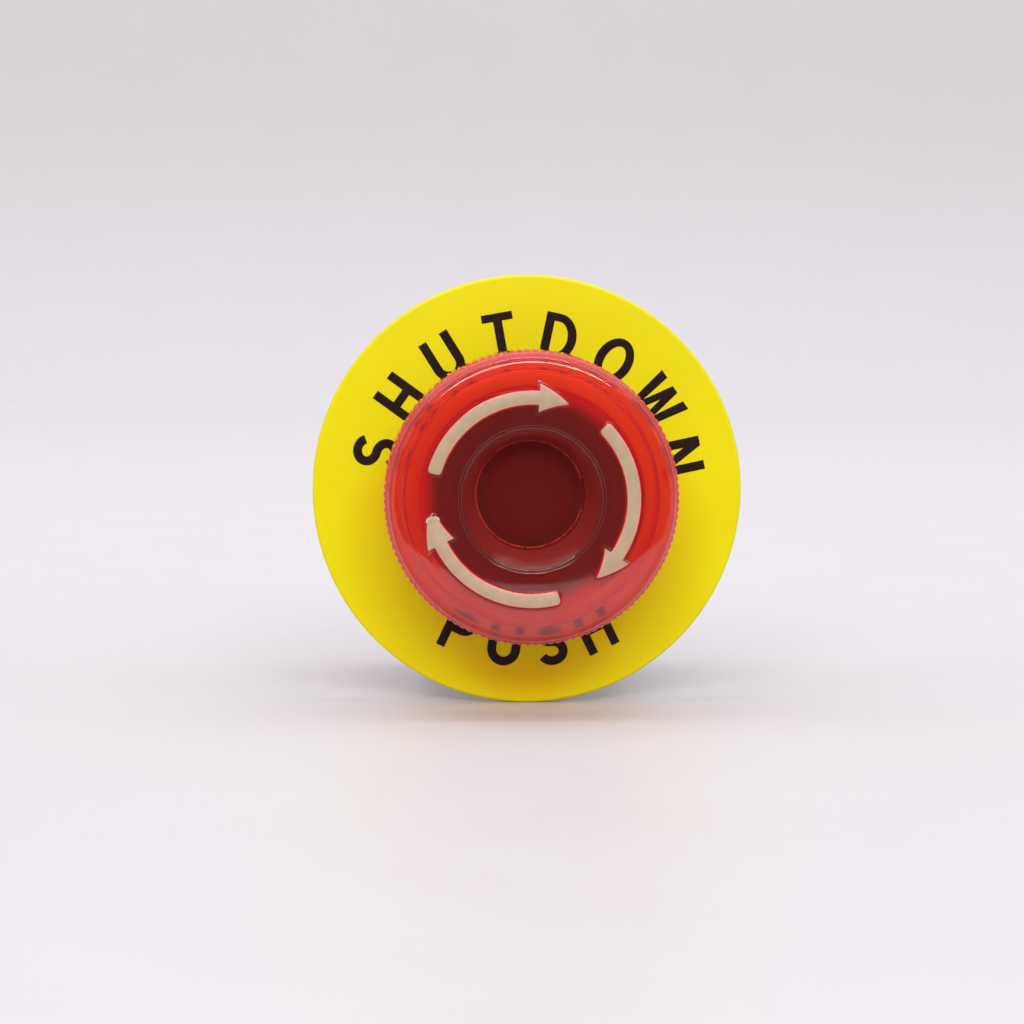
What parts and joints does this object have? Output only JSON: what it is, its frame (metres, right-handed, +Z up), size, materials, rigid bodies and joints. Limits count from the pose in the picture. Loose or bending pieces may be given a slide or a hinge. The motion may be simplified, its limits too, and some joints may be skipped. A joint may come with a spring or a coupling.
{
  "type": "emergency stop button",
  "caption": "Illuminated twist-release emergency stop: translucent red mushroom head on a round yellow legend plate, 22 mm barrel, contact and lamp blocks behind.",
  "frame": {"origin": "the point where the barrel's axis crosses the front face of the panel, which is the back of the legend plate", "axes": "+Y along the barrel into the panel, away from the person who presses; +Z up; +X to the right as seen by that person"},
  "size_m": [0.06, 0.0731, 0.06],
  "materials": {
    "plate_yellow": "bright yellow moulded plastic, fine satin",
    "seal_rubber": "black rubber",
    "black_plastic": "black moulded plastic, satin",
    "lever_grey": "dark grey moulded plastic",
    "steel": "zinc-plated steel",
    "head_red": "translucent red plastic, polished",
    "arrow_beige": "beige ink on raised marks",
    "spring_steel": "bright spring wire",
    "ivory_plastic": "natural ivory plastic",
    "pawl_blue": "blue acetal",
    "nc_red": "red moulded plastic",
    "no_green": "green moulded plastic",
    "brass": "bright brass",
    "nickel": "nickel-plated brass",
    "lamp_glass_red": "frosted red diffuser",
    "led_white": "white LED epoxy"
  },
  "bodies": {
    "housing": {"legend_plate": "plate_yellow", "front_gasket": "seal_rubber", "bezel_housing": "black_plastic", "stem_seal": "seal_rubber", "block_base": "black_plastic", "base_screws": "steel", "return_spring": "spring_steel", "nc_case": "nc_red", "nc_cover": "nc_red", "nc_spring": "spring_steel", "nc_fixed_contacts": "brass", "nc_clamps": "steel", "nc_screws": "steel", "no_case": "no_green", "no_cover": "no_green", "no_spring": "spring_steel", "no_fixed_contacts": "brass", "no_clamps": "steel", "no_screws": "steel", "lamp_case": "black_plastic", "lamp_cover": "black_plastic", "lamp_socket": "brass", "lamp_insulator": "ivory_plastic", "lamp_centre_pin": "brass", "lamp_pin_spring": "spring_steel", "lamp_strips": "brass", "lamp_clamps": "steel", "lamp_screws": "steel", "lamp_cap": "nickel", "lamp_foot": "black_plastic", "lamp_button": "nickel", "lamp_glass": "lamp_glass_red", "lamp_led": "led_white"},
    "plunger": {"plunger_sleeve": "ivory_plastic", "plunger_tail": "ivory_plastic", "pusher_bar": "ivory_plastic", "twist_spring": "spring_steel", "latch_ring_spring": "spring_steel"},
    "knob": {"mushroom_head": "head_red", "arrow_marks": "arrow_beige", "knob_core": "black_plastic", "head_clip": "steel", "core_circlip": "steel"},
    "pawl_left": {"latch_pawl_left": "pawl_blue"},
    "pawl_right": {"latch_pawl_right": "pawl_blue"},
    "nc_carrier": {"nc_rod": "ivory_plastic", "nc_bridge": "brass"},
    "no_carrier": {"no_rod": "ivory_plastic", "no_bridge": "brass"},
    "lever": {"lock_lever": "lever_grey"},
    "washer": {"lock_washer": "steel"},
    "nut": {"panel_nut": "black_plastic"}
  },
  "joints": [
    {"name": "knob_push", "type": "slide", "parent": "housing", "child": "plunger", "axis": [0, 1, 0], "range_m": [0, 0.0045], "stiffness_N_per_m": 1500, "springref_m": -0.004, "deforming": ["return_spring"]},
    {"name": "knob_twist", "type": "hinge", "parent": "plunger", "child": "knob", "pos_m": [0, 0, 0], "axis": [0, 1, 0], "range_deg": [0, 45], "stiffness_Nm_per_rad": 0.02, "springref_deg": -17.19, "deforming": ["twist_spring", "latch_ring_spring"]},
    {"name": "pawl_left_draw", "type": "slide", "parent": "plunger", "child": "pawl_left", "axis": [1, 0, 0], "range_m": [0, 0.0009]},
    {"name": "pawl_right_draw", "type": "slide", "parent": "plunger", "child": "pawl_right", "axis": [-1, 0, 0], "range_m": [0, 0.0009]},
    {"name": "nc_travel", "type": "slide", "parent": "housing", "child": "nc_carrier", "axis": [0, 1, 0], "range_m": [0, 0.0045], "deforming": ["nc_spring"]},
    {"name": "no_travel", "type": "slide", "parent": "housing", "child": "no_carrier", "axis": [0, 1, 0], "range_m": [0, 0.0045], "deforming": ["no_spring"]},
    {"name": "lever_turn", "type": "hinge", "parent": "housing", "child": "lever", "pos_m": [0, 0.0135, 0], "axis": [0, 1, 0], "range_deg": [0, 25]},
    {"name": "nut_travel", "type": "slide", "parent": "housing", "child": "washer", "axis": [0, 1, 0], "range_m": [0, 0.003]},
    {"name": "nut_turn", "type": "hinge", "parent": "washer", "child": "nut", "pos_m": [0, 0.0064, 0], "axis": [0, 1, 0], "range_deg": [0, 720]}
  ],
  "couplings": [
    {"joint": "pawl_left_draw", "follows": "knob_twist", "m_per_rad": 0.0011459},
    {"joint": "pawl_right_draw", "follows": "knob_twist", "m_per_rad": 0.0011459},
    {"joint": "nc_travel", "follows": "knob_push", "ratio": 1},
    {"joint": "no_travel", "follows": "knob_push", "ratio": 1},
    {"joint": "nut_travel", "follows": "nut_turn", "m_per_rad": 0.0002387}
  ]
}
